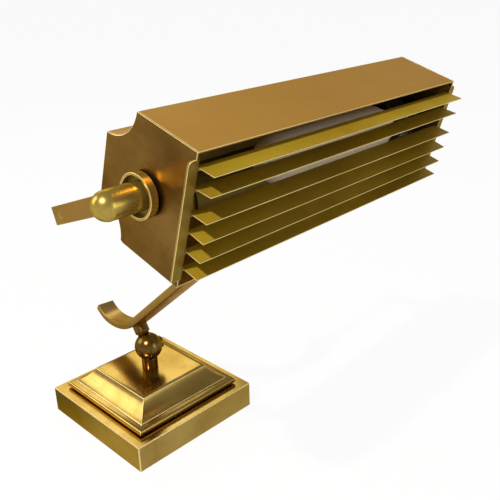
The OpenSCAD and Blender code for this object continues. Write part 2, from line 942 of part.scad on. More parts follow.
base_slab();
base_moulding();
base_weight();
bottom_plate();
felt_pad();
cover_screws();
lower_knuckle();
post_washer();
post_nut();
ball_screw();
upper_knuckle();
neck_stud();
arm_bar();
arm_socket();
socket_pin();
socket_screw();
yoke_hub();
hub_screw();
cross_rod();
rod_rings();
yoke_strip_left();
yoke_strip_right();
collar_left();
collar_right();
shade_shell();
end_plate_left();
end_plate_right();
rail_left();
rail_right();
reflector();
reflector_rivets();
pivot_stud_left();
pivot_stud_right();
stud_nuts();
holder_bracket();
bracket_screws();
lampholder();
bulb_cap();
bulb_glass();
cable_bushing();
knob_left();
knob_right();
slat_1();
slat_2();
slat_3();
slat_4();
slat_5();
slat_6();
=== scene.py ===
import json
import math

import bmesh
import bpy
from mathutils import Matrix, Vector


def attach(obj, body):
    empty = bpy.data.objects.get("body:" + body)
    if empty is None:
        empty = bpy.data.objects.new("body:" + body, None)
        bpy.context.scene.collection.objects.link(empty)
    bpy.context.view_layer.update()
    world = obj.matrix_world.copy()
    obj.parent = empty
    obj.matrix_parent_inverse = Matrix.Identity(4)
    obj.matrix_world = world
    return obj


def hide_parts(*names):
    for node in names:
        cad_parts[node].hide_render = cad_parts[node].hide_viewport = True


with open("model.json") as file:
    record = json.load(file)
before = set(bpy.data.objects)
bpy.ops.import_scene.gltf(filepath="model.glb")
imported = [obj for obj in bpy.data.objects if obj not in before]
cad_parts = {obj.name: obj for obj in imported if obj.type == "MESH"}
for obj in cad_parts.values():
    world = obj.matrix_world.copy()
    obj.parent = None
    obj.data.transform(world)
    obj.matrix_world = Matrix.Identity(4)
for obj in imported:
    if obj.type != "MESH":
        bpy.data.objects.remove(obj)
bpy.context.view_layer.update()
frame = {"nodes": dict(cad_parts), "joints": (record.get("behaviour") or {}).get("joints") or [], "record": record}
print("frame loaded:", len(frame["nodes"]), "nodes")

mm = 0.001


# Camera: where the photograph was taken from
cameraSet = {
    "place": (-346.6 * mm, -489.9 * mm, 420.9 * mm),
    "heading": 45.1,       # degrees from +Y towards +X
    "down": 22.75,         # degrees below the horizon
    "roll": -1.3,
    "focal": 688.5 / 500,  # in picture widths
    "sensor": 36.0,
    "nearClip": 10 * mm,
}


def makeCamera(s):
    heading, down, roll = (math.radians(s[k]) for k in ("heading", "down", "roll"))
    out = math.cos(down)
    ahead = Vector((math.sin(heading) * out, math.cos(heading) * out, -math.sin(down)))
    level = Vector((math.cos(heading), -math.sin(heading), 0))
    upright = level.cross(ahead)
    right = level * math.cos(roll) + upright * math.sin(roll)
    up = upright * math.cos(roll) - level * math.sin(roll)
    data = bpy.data.cameras.new("camera")
    data.sensor_width = s["sensor"]
    data.lens = s["sensor"] * s["focal"]
    data.clip_start = s["nearClip"]
    camera = bpy.data.objects.new("camera", data)
    camera.matrix_world = Matrix.Translation(s["place"]) @ Matrix((right, up, -ahead)).transposed().to_4x4()
    bpy.context.scene.collection.objects.link(camera)
    bpy.context.scene.camera = camera


makeCamera(cameraSet)
print("camera placed")


# Where the moving frames stand, read from the joints
joints = {joint["name"]: joint for joint in frame["joints"]}


def frameAt(jointName, tilt=0.0):
    joint = joints[jointName]
    across = Vector(joint["axis"]).normalized()
    back = Vector((-across.y, across.x, 0)).normalized()
    level = Matrix((across, back, Vector((0, 0, 1)))).transposed().to_4x4()
    return Matrix.Translation(joint["pos_m"]) @ level @ Matrix.Rotation(math.radians(tilt), 4, "X")


shadeTilt = 18.0  # degrees by which the shade is turned about its pivots at rest
shadeFrame = frameAt("shade_tilt", shadeTilt)


# Node helpers
def addNode(tree, kind, inputs=None, **settings):
    node = tree.nodes.new(kind)
    for key, value in settings.items():
        setattr(node, key, value)
    for key, value in (inputs or {}).items():
        if isinstance(value, bpy.types.NodeSocket):
            tree.links.new(value, node.inputs[key])
        else:
            node.inputs[key].default_value = value
    return node


def maths(tree, operation, a, b=0.0):
    return addNode(tree, "ShaderNodeMath", {0: a, 1: b}, operation=operation).outputs["Value"]


def newMaterial(name):
    material = bpy.data.materials.new(name)
    material.use_nodes = True
    tree = material.node_tree
    tree.nodes.clear()
    output = tree.nodes.new("ShaderNodeOutputMaterial")
    shader = tree.nodes.new("ShaderNodeBsdfPrincipled")
    tree.links.new(shader.outputs["BSDF"], output.inputs["Surface"])
    return material, tree, shader


def objectPoint(tree, stretch=(1, 1, 1), turn=(0, 0, 0)):
    where = addNode(tree, "ShaderNodeTexCoord")
    turned = addNode(tree, "ShaderNodeMapping", {"Vector": where.outputs["Object"], "Rotation": turn})
    return addNode(tree, "ShaderNodeMapping", {"Vector": turned.outputs["Vector"],
                                               "Scale": stretch}).outputs["Vector"]


def noise(tree, point, scale, detail=4.0, rough=0.55):
    return addNode(tree, "ShaderNodeTexNoise", {"Vector": point, "Scale": scale, "Detail": detail,
                                                "Roughness": rough}).outputs["Fac"]


def spread(tree, value, low, high, fromLow=0.3, fromHigh=0.7):
    return addNode(tree, "ShaderNodeMapRange", {"Value": value, "From Min": fromLow, "From Max": fromHigh,
                                                "To Min": low, "To Max": high}).outputs["Result"]


def mixColour(tree, share, a, b):
    node = addNode(tree, "ShaderNodeMix", data_type="RGBA")
    for key, value in (("Factor", share), ("A", a), ("B", b)):
        socket = next(i for i in node.inputs if i.name == key and i.enabled)
        if isinstance(value, bpy.types.NodeSocket):
            tree.links.new(value, socket)
        else:
            socket.default_value = value if key == "Factor" else (*value, 1)
    return next(o for o in node.outputs if o.enabled)


# Brass: the patterns that every finish shares, then one dictionary for each finish
brassNoise = {  # scale, detail and roughness
    "broad": (13, 5, 0.55), "cloudy": (45, 6, 0.6), "specks": (380, 3, 0.55), "brushed": (60, 3, 0.6),
}
brassLayers = (  # pattern, the tone it lays on, how much of it, and the noise values where it starts and ends
    ("broad", "dark", 1, 0.36, 0.64),
    ("cloudy", "stain", "stains", 0.5, 0.72),  # as much as the finish says
    ("brushed", "dark", 0.35, 0.5, 0.8),
    ("specks", "stain", 0.4, 0.68, 0.8),
)
baseBrass = {
    "light": (0.47, 0.32, 0.09), "dark": (0.37, 0.235, 0.056), "stain": (0.23, 0.13, 0.028), "stains": 0.3,
    "rough": (0.15, 0.22), "brushRough": (-0.03, 0.05), "metallic": 1.0, "graze": (0.8, 0.6, 0.3),
    "brush": (0.35, 0.35, 9), "brushTurn": (0, 0, 0), "brushDepth": 0.03, "brushHeight": 0.4 * mm,
    "cloudDepth": 0.03, "cloudHeight": 0.5 * mm,
}
shadeTurn = (math.radians(-shadeTilt), 0, 0)  # lets the brushing run along the tilted shade
armBrass = dict(baseBrass, light=(0.52, 0.33, 0.11), dark=(0.39, 0.23, 0.07), rough=(0.26, 0.36), stains=0.35)
knobBrass = dict(baseBrass, light=(0.6, 0.43, 0.1), dark=(0.32, 0.21, 0.04), rough=(0.25, 0.33),
                 brush=(0.3, 6, 6), brushDepth=0.06, stains=0.4, metallic=0.88, graze=(0.6, 0.45, 0.15))
ballBrass = dict(baseBrass, light=(0.22, 0.13, 0.032), dark=(0.13, 0.07, 0.018), stain=(0.08, 0.04, 0.012),
                 rough=(0.17, 0.26), stains=0.5)
topBrass = dict(baseBrass, light=(0.42, 0.226, 0.04), dark=(0.385, 0.203, 0.034),
                stain=(0.34, 0.175, 0.028), rough=(0.43, 0.5), brush=(0.2, 8, 8), brushTurn=shadeTurn,
                brushDepth=0.015, stains=0.2, metallic=0.4, graze=(0.45, 0.3, 0.1))
plateBrass = dict(baseBrass, light=(0.29, 0.165, 0.045), dark=(0.15, 0.075, 0.02),
                  stain=(0.11, 0.05, 0.013), rough=(0.3, 0.4), brush=(1, 1.5, 8), brushTurn=shadeTurn,
                  stains=0.5)
# The end plates' folded flanges: a lighter, yellower copy of the plates' brass, painted light where the flange
# catches the light
flangeLitBrass = dict(plateBrass, light=(0.3, 0.21, 0.04), dark=(0.22, 0.145, 0.025), stain=(0.16, 0.1, 0.015),
                   metallic=0.8)
slatBrass = dict(baseBrass, light=(0.46, 0.31, 0.024), dark=(0.36, 0.23, 0.016), stain=(0.26, 0.16, 0.011),
                 rough=(0.36, 0.44), brush=(0.15, 10, 10), brushTurn=shadeTurn, stains=0.25, metallic=0.35,
                 graze=(0.5, 0.4, 0.1))
# The slats' cut edges: a much lighter brass, partly bare cut metal and partly a painted highlight along each edge
slatRimHighlightBrass = dict(slatBrass, light=(0.85, 0.68, 0.3), dark=(0.74, 0.57, 0.22), stain=(0.55, 0.4, 0.12),
                    metallic=0.6)
# The rubbed edges: a much lighter brass with less metal shine, so that they stay bright whatever they mirror;
# partly real rubbed brass, partly a painted highlight
rubbedHighlightBrass = dict(baseBrass, light=(0.85, 0.66, 0.3), dark=(0.74, 0.54, 0.2), stain=(0.55, 0.38, 0.12),
                   rough=(0.34, 0.44), stains=0.15, metallic=0.6)
# A darker brass for the liner inside the shade, the rails and the collars' cups: painted shade for parts that sit
# inside or in a recess
paintedShadeBrass = dict(slatBrass, light=(0.27, 0.19, 0.045), dark=(0.18, 0.12, 0.024),
                  stain=(0.12, 0.075, 0.014), metallic=0.7)


def brass(name, s):
    material, tree, shader = newMaterial(name)
    plainPoint = objectPoint(tree)
    points = {"brushed": objectPoint(tree, s["brush"], s["brushTurn"])}
    pattern = {key: noise(tree, points.get(key, plainPoint), *values) for key, values in brassNoise.items()}
    colour = s["light"]
    for key, tone, share, start, end in brassLayers:
        shown = spread(tree, pattern[key], 0, s.get(share, share), start, end)
        colour = mixColour(tree, shown, colour, s[tone])
    roughness = maths(tree, "ADD", spread(tree, pattern["cloudy"], *s["rough"]),
                      spread(tree, pattern["brushed"], *s["brushRough"]))
    bump = addNode(tree, "ShaderNodeBump", {"Height": pattern["brushed"], "Strength": s["brushDepth"],
                                            "Distance": s["brushHeight"]})
    fine = addNode(tree, "ShaderNodeBump", {"Height": pattern["cloudy"], "Strength": s["cloudDepth"],
                                            "Distance": s["cloudHeight"], "Normal": bump.outputs["Normal"]})
    shader.inputs["Metallic"].default_value = s["metallic"]
    shader.inputs["Specular Tint"].default_value = (*s["graze"], 1)
    tree.links.new(colour, shader.inputs["Base Color"])
    tree.links.new(roughness, shader.inputs["Roughness"])
    tree.links.new(fine.outputs["Normal"], shader.inputs["Normal"])
    return material


grainSet = {"detail": 5, "coarser": 4, "height": 0.5 * mm}  # the shine's noise is coarser than the grain


def plain(name, light, dark, rough, metallic=0.0, scale=200, depth=0.1):
    material, tree, shader = newMaterial(name)
    point = objectPoint(tree)
    grain = noise(tree, point, scale, grainSet["detail"])
    shine = noise(tree, point, scale / grainSet["coarser"])
    tree.links.new(mixColour(tree, spread(tree, grain, 0, 1), light, dark), shader.inputs["Base Color"])
    tree.links.new(spread(tree, shine, *rough), shader.inputs["Roughness"])
    bump = addNode(tree, "ShaderNodeBump", {"Height": grain, "Strength": depth,
                                            "Distance": grainSet["height"]})
    tree.links.new(bump.outputs["Normal"], shader.inputs["Normal"])
    shader.inputs["Metallic"].default_value = metallic
    return material


frostSet = {"light": (0.96, 0.86, 0.68), "dark": (0.86, 0.76, 0.58), "rough": (0.28, 0.36),
            "grain": (900, 3), "clear": 0.05, "bends": 1.45}


def frostedGlass(name, s):
    material, tree, shader = newMaterial(name)
    grain = noise(tree, objectPoint(tree), *s["grain"])
    tree.links.new(mixColour(tree, spread(tree, grain, 0, 1), s["light"], s["dark"]),
                   shader.inputs["Base Color"])
    tree.links.new(spread(tree, grain, *s["rough"]), shader.inputs["Roughness"])
    shader.inputs["Transmission Weight"].default_value = s["clear"]
    shader.inputs["IOR"].default_value = s["bends"]
    return material


brassOnBase = brass("brassOnBase", baseBrass)
brassOnArm = brass("brassOnArm", armBrass)
brassOnKnobs = brass("brassOnKnobs", knobBrass)
brassOnBall = brass("brassOnBall", ballBrass)
brassOnTop = brass("brassOnTop", topBrass)
brassOnPlates = brass("brassOnPlates", plateBrass)
litBrassOnFlanges = brass("litBrassOnFlanges", flangeLitBrass)
brassOnSlats = brass("brassOnSlats", slatBrass)
slatRimHighlight = brass("slatRimHighlight", slatRimHighlightBrass)
brassWithPaintedShade = brass("brassWithPaintedShade", paintedShadeBrass)
rubbedEdgeHighlight = brass("rubbedEdgeHighlight", rubbedHighlightBrass)
zincSteel = plain("zincSteel", (0.62, 0.62, 0.6), (0.45, 0.45, 0.44), (0.25, 0.4), metallic=1)
castIron = plain("castIron", (0.07, 0.07, 0.07), (0.04, 0.04, 0.04), (0.6, 0.8), scale=500, depth=0.5)
greenFelt = plain("greenFelt", (0.012, 0.05, 0.02), (0.02, 0.075, 0.035), (0.9, 1.0), scale=1500, depth=0.6)
blackPlastic = plain("blackPlastic", (0.018, 0.017, 0.016), (0.03, 0.028, 0.025), (0.15, 0.3))
blackRubber = plain("blackRubber", (0.02, 0.02, 0.02), (0.03, 0.03, 0.03), (0.6, 0.75))
capMetal = plain("capMetal", (0.7, 0.68, 0.62), (0.55, 0.53, 0.48), (0.2, 0.35), metallic=1)
bulbFrosted = frostedGlass("bulbFrosted", frostSet)
print("materials made")


# Placing pieces
bodyOf = {node: body for body, nodes in frame["record"]["behaviour"]["bodies"].items() for node in nodes}
slotOf = {part["node"]: part["material_slot"] for part in frame["record"]["subparts"]}


def addObject(name, mesh):
    obj = bpy.data.objects.new(name, mesh)
    bpy.context.scene.collection.objects.link(obj)
    return obj


# Meshes in work: how near corners are merged and, in degrees, what counts as flat, as an outer edge or as
# one smooth face
meshSet = {"merge": 0.002 * mm, "flat": 0.5, "outerEdge": 32, "rubbedSteps": 2, "smooth": 30,
           "smoothSheet": 12, "smoothBar": 20, "smoothMoulding": 50}


def mergedCopy(mesh):
    edit = bmesh.new()
    edit.from_mesh(mesh)
    bmesh.ops.remove_doubles(edit, verts=edit.verts, dist=meshSet["merge"])
    return edit


def intoMesh(edit, mesh, turnOutwards=False):
    if turnOutwards:
        bmesh.ops.recalc_face_normals(edit, faces=edit.faces)
    edit.to_mesh(mesh)
    edit.free()
    return mesh


def joinRings(edit, rings):
    for first, second in zip(rings, rings[1:]):
        count = max(len(first), len(second))
        for i in range(count):
            j = (i + 1) % count
            corners = (first[i % len(first)], first[j % len(first)],
                       second[j % len(second)], second[i % len(second)])
            corners = list(dict.fromkeys(corners))
            if len(corners) > 2:
                edit.faces.new(corners)


def smoothByAngle(mesh, degrees=meshSet["smooth"]):
    for face in mesh.polygons:
        face.use_smooth = True
    mesh.set_sharp_from_angle(angle=math.radians(degrees))


def bakeModifiers(obj):
    made = bpy.data.meshes.new_from_object(obj.evaluated_get(bpy.context.evaluated_depsgraph_get()))
    obj.modifiers.clear()
    obj.data = made
    return made


def markOuterEdges(mesh):
    edit = bmesh.new()
    edit.from_mesh(mesh)
    weight = edit.edges.layers.float.new("bevel_weight_edge")
    least = math.radians(meshSet["outerEdge"])
    for edge in edit.edges:
        if edge.is_manifold and edge.is_convex and edge.calc_face_angle() > least:
            edge[weight] = 1
    intoMesh(edit, mesh)


# Rounds the outer edges; with rim, the rounded faces take the rubbed brass with its painted highlight
def rubEdges(obj, width, rim=False, soft=False, clamp=True, smooth=meshSet["smoothSheet"]):
    markOuterEdges(obj.data)
    bevel = obj.modifiers.new("rubbed", "BEVEL")
    bevel.width = width
    bevel.segments = meshSet["rubbedSteps"]
    bevel.limit_method = "WEIGHT"
    bevel.use_clamp_overlap = clamp
    bevel.material = 1 if rim else -1  # 1 is the piece's second finish, -1 the one beside the edge
    smoothByAngle(bakeModifiers(obj), smooth)
    if soft:
        leaning = obj.modifiers.new("flat", "WEIGHTED_NORMAL")
        leaning.keep_sharp = True
        bakeModifiers(obj)


def seat(obj, *nodes):
    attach(obj, bodyOf[nodes[0]])
    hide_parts(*nodes)
    return obj


# The shade's lower rear corner, behind and below its pivot, where its sheet is bent round a small radius
roundedCorner = {"place": (14.7 * mm, -40.3 * mm), "near": 2.4 * mm, "radius": 3.2 * mm, "steps": 5,
                 "leastLength": 0.5 * mm, "level": 0.01 * mm, "leastTurn": 25}


def roundCorner(edit, s):
    back = shadeFrame.inverted()

    def atCorner(vert):
        co = back @ vert.co
        return math.hypot(co.y - s["place"][0], co.z - s["place"][1]) < s["near"]

    def alongShade(edge):
        first, second = (back @ v.co for v in edge.verts)
        aside = math.hypot(first.y - second.y, first.z - second.z)
        return abs(first.x - second.x) > s["leastLength"] and aside < s["level"]

    found = [e for e in edit.edges if all(atCorner(v) for v in e.verts) and alongShade(e)
             and e.is_manifold and e.calc_face_angle() > math.radians(s["leastTurn"])]
    bmesh.ops.bevel(edit, geom=found, offset=s["radius"], segments=s["steps"], profile=0.5, affect="EDGES",
                    clamp_overlap=False)


# Painted light and shade: the end plates' raised flanges, past this distance from the shade's middle, take a
# lighter brass as painted light, and the collars' cups, within this radius and deeper than the lip, take a darker
# brass as painted shade
flangeLightSet = {"start": 127.2 * mm, "finish": litBrassOnFlanges}
cupShadeSet = {"radius": 11.8 * mm, "lip": 0.3 * mm, "finish": brassWithPaintedShade}


def finishWhere(mesh, finish, chosen):
    mesh.materials.append(finish)
    for face in mesh.polygons:
        if chosen(face.center):
            face.material_index = len(mesh.materials) - 1


# Paints light onto the end plates' flanges: their faces take the lighter brass
def paintFlangeLight(mesh, s):
    back = shadeFrame.inverted()
    finishWhere(mesh, s["finish"], lambda centre: abs((back @ centre).x) > s["start"])


# Paints shade into the collars' cups: their inside faces take the darker brass
def paintCupShade(mesh, s):
    back = shadeFrame.inverted()
    depth = max(abs((back @ v.co).x) for v in mesh.vertices) - s["lip"]

    def inCup(centre):
        x, y, z = back @ centre
        return math.hypot(y, z) < s["radius"] and abs(x) < depth

    finishWhere(mesh, s["finish"], inCup)


def worked(node, material, width, rim=None):
    mesh = frame["nodes"][node].data.copy()
    edit = mergedCopy(mesh)
    bmesh.ops.dissolve_limit(edit, angle_limit=math.radians(meshSet["flat"]), verts=edit.verts,
                             edges=edit.edges)
    ofShade = node in ("shade_shell", "end_plate_left", "end_plate_right")  # short facets would clamp these
    if ofShade:
        roundCorner(edit, roundedCorner)
    intoMesh(edit, mesh)
    mesh.materials.clear()
    for finish in filter(None, (material, rim)):
        mesh.materials.append(finish)
    if node.startswith("end_plate"):
        paintFlangeLight(mesh, flangeLightSet)
    if node.startswith("collar"):
        paintCupShade(mesh, cupShadeSet)
    obj = addObject(node + "_worked", mesh)
    rubEdges(obj, width, rim is not None, clamp=not (ofShade or node.endswith("knuckle")))
    return seat(obj, node)


# CAD solids kept as they are get their finish first
finishOf = {
    "gold_brass": brassOnArm, "aged_brass": brassOnBall, "louvre_brass": brassOnSlats,
    "zinc_steel": zincSteel, "iron": castIron, "felt": greenFelt, "liner_brass": brassWithPaintedShade,
    "cap_metal": capMetal, "bulb_glass": bulbFrosted, "holder_black": blackPlastic,
    "bushing_black": blackRubber,
}
for node, slotName in slotOf.items():
    slots = frame["nodes"][node].data.materials
    slots.clear()
    slots.append(finishOf[slotName])
print("finishes on the frame's own solids")

# Pieces worked from the solids: finish, edge radius in mm, and whether the edges are rubbed bright, in the lighter
# brass that is partly a painted highlight
workedSet = {
    "base_slab": (brassOnBase, 1.5, True),
    "felt_pad": (greenFelt, 0.4, False), "lower_knuckle": (brassOnBall, 0.6, False),
    "upper_knuckle": (brassOnBall, 0.6, False), "ball_screw": (brassOnBall, 0.3, False),
    "arm_socket": (brassOnArm, 0.7, True), "yoke_hub": (brassOnBall, 0.5, True),
    "cross_rod": (brassOnArm, 0.4, False), "rod_rings": (brassOnArm, 0.4, True),
    "yoke_strip_left": (brassOnArm, 0.35, True), "yoke_strip_right": (brassOnArm, 0.35, True),
    "collar_left": (brassOnKnobs, 0.3, True), "collar_right": (brassOnKnobs, 0.3, True),
    "knob_left": (brassOnKnobs, 0.6, False), "knob_right": (brassOnKnobs, 0.6, False),
    "shade_shell": (brassOnTop, 0.28, True), "end_plate_left": (brassOnPlates, 0.3, True),
    "end_plate_right": (brassOnPlates, 0.3, True), "rail_left": (brassWithPaintedShade, 0.15, False),
    "rail_right": (brassWithPaintedShade, 0.15, False), "reflector": (brassWithPaintedShade, 0.12, False),
    "stud_nuts": (zincSteel, 0.4, False), "post_nut": (zincSteel, 0.5, False),
    "holder_bracket": (zincSteel, 0.25, False), "cable_bushing": (blackRubber, 0.5, False),
}
for node, (finish, radius, rubbed) in workedSet.items():
    worked(node, finish, radius * mm, rubbedEdgeHighlight if rubbed else None)
print("worked pieces:", len(workedSet))


# Moulding: one profile carried round the square with mitred corners, as (half of the side, height) in mm
mouldingSet = {
    "foot": ((8, 27.0), (56.6, 27.0), (56.6, 28.4)),
    "lip": ((58.6, 28.4), (59.3, 28.6), (59.7, 29.2), (59.8, 30.2), (59.75, 31.4), (59.5, 32.3),
            (59.0, 33.0), (58.3, 33.4), (57.0, 33.7), (55.2, 33.9), (53.9, 34.1), (53.4, 34.4), (53.2, 34.9)),
    "cove": {"low": (52.6, 35.2), "high": (39.1, 47.4), "sag": 1.3, "steps": 14},
    "top": ((38.95, 48.1), (38.8, 48.6), (38.3, 49.0), (36.0, 49.65), (35.2, 49.8), (5.2, 49.8),
            (5.2, 45.8)),
    "rubbed": 0.3 * mm,
}


def covePoints(s):
    low, high = Vector(s["low"]), Vector(s["high"])
    inwards = (high - low).orthogonal().normalized()
    points = []
    for i in range(s["steps"] + 1):
        share = i / s["steps"]
        depth = s["sag"] * 4 * share * (1 - share)  # deepest in the middle
        points.append(tuple(low.lerp(high, share) + inwards * depth))
    return points


def mouldedSquare(s, finish, rim):
    profile = [*s["foot"], *s["lip"], *covePoints(s["cove"]), *s["top"]]
    edit = bmesh.new()
    corners = ((-1, -1), (1, -1), (1, 1), (-1, 1))
    rings = []
    for half, z in profile:
        rings.append([edit.verts.new((x * half * mm, y * half * mm, z * mm)) for x, y in corners])
    joinRings(edit, rings + rings[:1])
    mesh = intoMesh(edit, bpy.data.meshes.new("moulding"), turnOutwards=True)
    for material in (finish, rim):
        mesh.materials.append(material)
    obj = addObject("moulded_square", mesh)
    rubEdges(obj, s["rubbed"], True, soft=True, smooth=meshSet["smoothMoulding"])
    return seat(obj, "base_moulding")


mouldedSquare(mouldingSet, brassOnBase, rubbedEdgeHighlight)
print("moulding made")


# Geometry Nodes: building and growing
socketKinds = {float: "NodeSocketFloat", int: "NodeSocketInt", tuple: "NodeSocketVector"}


def newShapeTree(name, inputs):
    tree = bpy.data.node_groups.new(name, "GeometryNodeTree")
    tree.interface.new_socket(name="Geometry", in_out="INPUT", socket_type="NodeSocketGeometry")
    for label, value in inputs.items():
        kind = socketKinds.get(type(value), "NodeSocketMaterial")
        tree.interface.new_socket(name=label, in_out="INPUT", socket_type=kind)
    tree.interface.new_socket(name="Geometry", in_out="OUTPUT", socket_type="NodeSocketGeometry")
    return tree, tree.nodes.new("NodeGroupInput").outputs


def endShapeTree(tree, geometry, materials):
    made = addNode(tree, "GeometryNodeRealizeInstances", {"Geometry": geometry}).outputs["Geometry"]
    for material, selection in materials:
        inputs = {"Geometry": made, "Material": material}
        if selection is not None:
            inputs["Selection"] = selection
        made = addNode(tree, "GeometryNodeSetMaterial", inputs).outputs["Geometry"]
    output = tree.nodes.new("NodeGroupOutput")
    tree.links.new(made, output.inputs["Geometry"])


def grow(name, tree, values, mesh=None):
    obj = addObject(name, mesh or bpy.data.meshes.new(name))
    modifier = obj.modifiers.new("shape", "NODES")
    modifier.node_group = tree
    for item in tree.interface.items_tree:
        if item.in_out == "INPUT" and item.name in values:
            modifier[item.identifier] = values[item.name]
    smoothByAngle(bakeModifiers(obj))
    return obj


def markFaces(tree, geometry, name, value):
    inputs = {"Geometry": geometry, "Name": name, "Value": value}
    return addNode(tree, "GeometryNodeStoreNamedAttribute", inputs, data_type="BOOLEAN",
                   domain="FACE").outputs["Geometry"]


def markedFaces(tree, name):
    return addNode(tree, "GeometryNodeInputNamedAttribute", {"Name": name},
                   data_type="BOOLEAN").outputs["Attribute"]


def joined(tree, *pieces):
    node = addNode(tree, "GeometryNodeJoinGeometry")
    for piece in pieces:
        tree.links.new(piece, node.inputs["Geometry"])
    return node.outputs["Geometry"]


# Slats: a flat blank whose rear edge is rolled under round a wire
slatSet = {
    "Length": 249.0 * mm, "Width": 12.5 * mm, "Thickness": 0.55 * mm, "Roll": 1.3 * mm, "Roll turn": 5.0,
    "Points along": 9, "Points across": 72, "Merge": 0.001 * mm, "Wire length": 251.6 * mm,
    "Wire radius": 0.75 * mm, "Wire sides": 24, "Sheet finish": brassOnSlats, "Rim finish": slatRimHighlight,
    "Wire finish": zincSteel,
}
slatTilts = {1: 1.2, 2: 2.9, 3: -0.2, 4: -5.7, 5: -4.0, 6: -3.2}  # degrees off the shade's front
frontLean = 2.34  # degrees by which the shade's front leans


def slatTree(s):
    tree, given = newShapeTree("rolledSlat", s)
    middle = maths(tree, "SUBTRACT", given["Roll"], maths(tree, "MULTIPLY", given["Thickness"], 0.5))
    blank = maths(tree, "ADD", given["Width"], maths(tree, "MULTIPLY", middle, given["Roll turn"]))
    grid = addNode(tree, "GeometryNodeMeshGrid", {
        "Size X": given["Length"], "Size Y": blank, "Vertices X": given["Points along"],
        "Vertices Y": given["Points across"]}).outputs["Mesh"]
    position = addNode(tree, "GeometryNodeInputPosition").outputs["Position"]
    at = addNode(tree, "ShaderNodeSeparateXYZ", {"Vector": position})
    along = maths(tree, "ADD", at.outputs["Y"], maths(tree, "MULTIPLY", blank, 0.5))
    past = maths(tree, "SUBTRACT", along, given["Width"])
    angle = maths(tree, "DIVIDE", maths(tree, "MAXIMUM", past, 0.0), middle)
    flat = maths(tree, "MINIMUM", past, 0.0)
    y = maths(tree, "ADD", flat, maths(tree, "MULTIPLY", middle, maths(tree, "SINE", angle)))
    z = maths(tree, "MULTIPLY", middle, maths(tree, "COSINE", angle))
    place = addNode(tree, "ShaderNodeCombineXYZ", {"X": at.outputs["X"], "Y": y, "Z": z}).outputs["Vector"]
    rolled = addNode(tree, "GeometryNodeSetPosition", {"Geometry": grid, "Position": place})
    facing = addNode(tree, "GeometryNodeInputNormal").outputs["Normal"]
    half = maths(tree, "MULTIPLY", given["Thickness"], -0.5)
    sink = addNode(tree, "ShaderNodeVectorMath", {0: facing, 3: half}, operation="SCALE")
    lower = addNode(tree, "GeometryNodeSetPosition", {
        "Geometry": rolled.outputs["Geometry"], "Offset": sink.outputs["Vector"]}).outputs["Geometry"]
    raised = addNode(tree, "GeometryNodeExtrudeMesh", {"Mesh": lower, "Offset Scale": given["Thickness"],
                                                       "Individual": False})
    # the sheet's cut edges, which take the lighter rim brass with its painted highlight
    upper = markFaces(tree, raised.outputs["Mesh"], "rim", raised.outputs["Side"])
    under = addNode(tree, "GeometryNodeFlipFaces", {"Mesh": lower}).outputs["Mesh"]
    sheet = addNode(tree, "GeometryNodeMergeByDistance", {
        "Geometry": joined(tree, upper, under), "Distance": given["Merge"]}).outputs["Geometry"]
    wire = addNode(tree, "GeometryNodeMeshCylinder", {
        "Vertices": given["Wire sides"], "Radius": given["Wire radius"],
        "Depth": given["Wire length"]}).outputs["Mesh"]
    laid = addNode(tree, "GeometryNodeTransform", {"Geometry": wire,
                                                   "Rotation": (0, math.pi / 2, 0)}).outputs["Geometry"]
    whole = joined(tree, sheet, markFaces(tree, laid, "wire", True))
    endShapeTree(tree, whole, [(given["Sheet finish"], None),
                               (given["Rim finish"], markedFaces(tree, "rim")),
                               (given["Wire finish"], markedFaces(tree, "wire"))])
    return tree


rolledSlat = slatTree(slatSet)
for number, tilt in slatTilts.items():
    slat = grow("rolled_slat_%d" % number, rolledSlat, slatSet)
    slat.data.transform(frameAt("slat_%d_tilt" % number, shadeTilt - frontLean - tilt))
    seat(slat, "slat_%d" % number)
print("slats rolled")


# Arm: a flat bar bent along arcs, with soft edges; the names with capitals are the tree's inputs
armSet = {
    "riseDeg": 39.3, "footBend": 88.7 * mm, "curl": 36.0 * mm, "curlDeg": 36.5, "curlBack": 69.0 * mm,
    "reach": 121.6 * mm, "topBend": 75.0 * mm, "upright": 17.2 * mm, "neck": 22.9 * mm, "curlSteps": 24,
    "bendSteps": 32, "rubbed": 0.5 * mm, "Bar width": 18.0 * mm, "Bar thickness": 7.2 * mm,
    "Edge radius": 1.1 * mm, "Edge steps": 5, "Finish": brassOnArm,
}


def arc(u, z, radius, start, end, steps):
    turns = [math.radians(start + (end - start) * i / steps) for i in range(steps + 1)]
    return [(u + radius * math.cos(t), z + radius * math.sin(t)) for t in turns]


def armPath(s):
    ball = joints["arm_tilt"]["pos_m"][2]
    rise = math.radians(s["riseDeg"])
    bendU = s["curlBack"] - s["footBend"] * math.sin(rise)
    drop = s["Bar thickness"] / 2 + s["neck"]
    bendZ = ball + drop / math.cos(rise) - bendU * math.tan(rise)
    lowZ = bendZ - s["footBend"] * (1 - math.cos(rise))
    topU = -s["reach"] + s["topBend"] * (1 - math.sin(rise))
    topZ = bendZ + (bendU - topU) * math.tan(rise)
    uprightZ = topZ + s["topBend"] * math.cos(rise)
    bent = 270 - s["riseDeg"]
    points = arc(s["curlBack"], lowZ + s["curl"], s["curl"], 270 + s["curlDeg"], 270, s["curlSteps"])
    points += arc(s["curlBack"], lowZ + s["footBend"], s["footBend"], 270, bent, s["bendSteps"])[1:]
    points += arc(-s["reach"] + s["topBend"], uprightZ, s["topBend"], bent, 180, s["bendSteps"])
    points.append((-s["reach"], uprightZ + s["upright"]))
    return points


